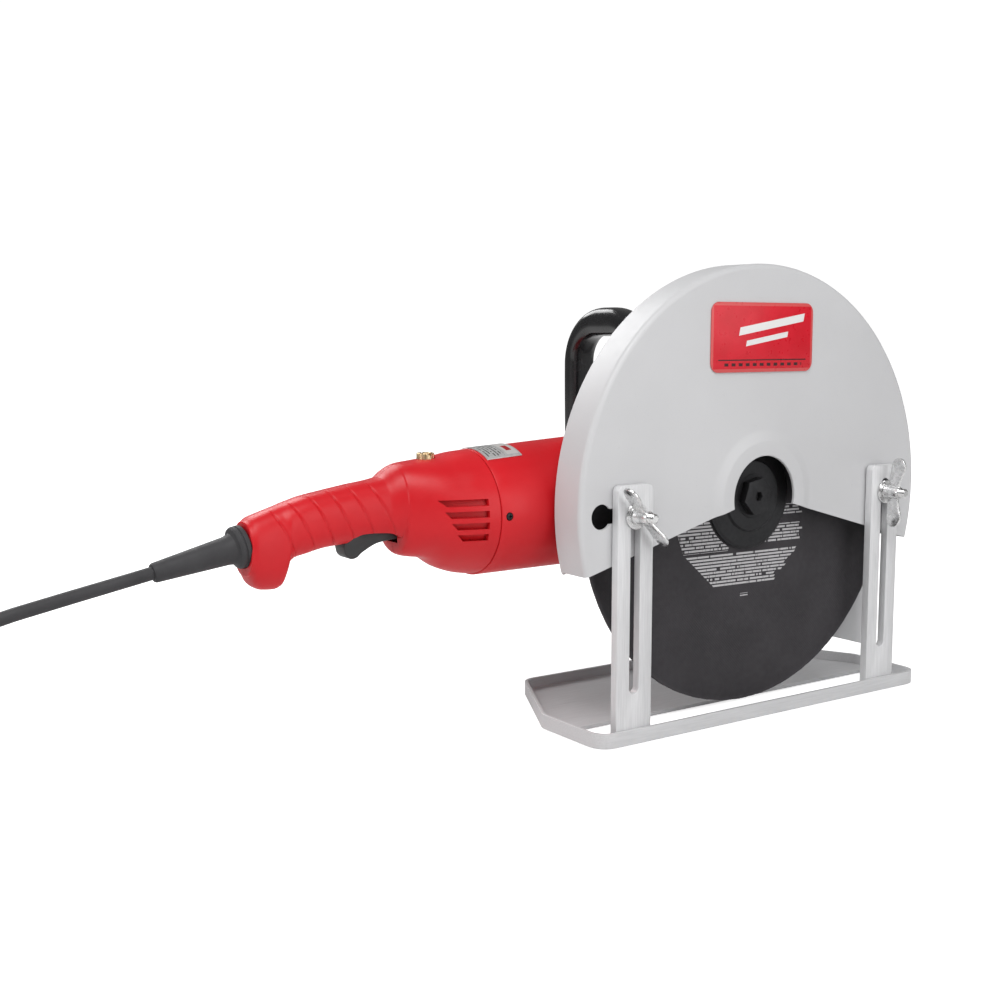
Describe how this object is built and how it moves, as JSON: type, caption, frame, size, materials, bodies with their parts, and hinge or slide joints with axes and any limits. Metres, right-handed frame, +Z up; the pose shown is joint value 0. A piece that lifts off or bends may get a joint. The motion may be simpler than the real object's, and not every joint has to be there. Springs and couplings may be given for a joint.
{
  "type": "electric cut-off saw",
  "caption": "Corded hand-held cut-off saw with a 14 in abrasive wheel under a sheet guard, a bail and rear trigger handle, and a slotted depth shoe held by wing nuts.",
  "frame": {"origin": "on the shoe's sole, under the spindle axis, in the motor's middle plane", "axes": "+X forwards, away from the rear handle; -Y the wheel and guard side; +Z up; the spindle axis is along Y at z 0.186"},
  "size_m": [1.0635, 0.238, 0.38],
  "materials": {
    "red_plastic": "moulded, fine texture, semi-gloss",
    "badge_red": "printed plate, gloss",
    "bail_black": "moulded rubbery plastic, semi-gloss",
    "grey_rubber": "matt extruded rubber",
    "guard_paint": "pale grey powder coat, satin",
    "cast_aluminium": "die cast, satin",
    "shoe_aluminium": "rolled sheet and bar, fine grained",
    "zinc": "bright zinc plate",
    "steel": "ground and oiled",
    "black_steel": "black oxide",
    "abrasive": "resin bonded grit with a glass cloth facing",
    "brass": "turned, satin",
    "copper": "turned copper bars",
    "black_plastic": "moulded nylon",
    "carbon": "sintered carbon",
    "label": "silver foil label"
  },
  "bodies": {
    "tool": {"bail_bolt_left": "black_steel", "bail_bolt_right": "black_steel", "bail_handle": "bail_black", "brush_cap": "brass", "brush_carrier": "black_plastic", "brush_holder_lower": "brass", "brush_holder_upper": "brass", "carbon_brush_lower": "carbon", "carbon_brush_upper": "carbon", "cord_coil": "grey_rubber", "cord_lead": "grey_rubber", "cord_tail": "grey_rubber", "cover_screw_1": "zinc", "cover_screw_2": "zinc", "cover_screw_3": "zinc", "gear_case": "cast_aluminium", "gear_case_cover": "cast_aluminium", "guard_badge": "badge_red", "guard_screw_1": "zinc", "guard_screw_2": "zinc", "guard_screw_3": "zinc", "guard_shell": "guard_paint", "handle_shell_left": "red_plastic", "handle_shell_right": "red_plastic", "housing_screw_left": "black_steel", "housing_screw_right": "black_steel", "motor_front_bearing": "steel", "motor_housing": "red_plastic", "motor_rear_bearing": "steel", "nameplate": "label", "plug_body": "grey_rubber", "spindle_front_bearing": "steel", "spindle_rear_bearing": "steel", "stator": "steel", "strain_relief": "grey_rubber", "stud_left": "zinc", "stud_right": "zinc", "switch_body": "black_plastic", "trigger_pin": "steel", "trigger_spring": "steel", "washer_left": "zinc", "washer_right": "zinc"},
    "wheel": {"cutting_wheel": "abrasive", "inner_flange": "black_steel", "outer_flange": "black_steel", "flange_bolt": "black_steel", "spindle": "steel", "bevel_gear": "steel"},
    "motor_armature": {"armature": "steel", "commutator": "copper", "cooling_fan": "black_plastic", "bevel_pinion": "steel"},
    "trigger_lever": {"trigger": "black_plastic"},
    "depth_shoe": {"shoe_plate": "shoe_aluminium", "upright_left": "shoe_aluminium", "upright_right": "shoe_aluminium"},
    "left_wing_nut": {"wing_nut_left": "zinc"},
    "right_wing_nut": {"wing_nut_right": "zinc"}
  },
  "joints": [
    {"name": "wheel_spin", "type": "hinge", "parent": "tool", "child": "wheel", "pos_m": [0, 0, 0.186], "axis": [0, 1, 0], "continuous": true},
    {"name": "armature_spin", "type": "hinge", "parent": "tool", "child": "motor_armature", "pos_m": [0, 0, 0.186], "axis": [1, 0, 0], "continuous": true},
    {"name": "trigger_pull", "type": "hinge", "parent": "tool", "child": "trigger_lever", "pos_m": [-0.307, 0, 0.1725], "axis": [0, 1, 0], "range_deg": [0, 8], "stiffness_Nm_per_rad": 1.5, "springref_deg": -5.73, "deforming": ["trigger_spring"]},
    {"name": "shoe_depth", "type": "slide", "parent": "tool", "child": "depth_shoe", "axis": [0, 0, 1], "range_m": [-0.005, 0.11]},
    {"name": "wing_nut_left_spin", "type": "hinge", "parent": "tool", "child": "left_wing_nut", "pos_m": [-0.1455, -0.1, 0.182], "axis": [0, 1, 0], "continuous": true},
    {"name": "wing_nut_right_spin", "type": "hinge", "parent": "tool", "child": "right_wing_nut", "pos_m": [0.1455, -0.1, 0.182], "axis": [0, 1, 0], "continuous": true}
  ],
  "couplings": [
    {"joint": "armature_spin", "follows": "wheel_spin", "ratio": -3}
  ]
}
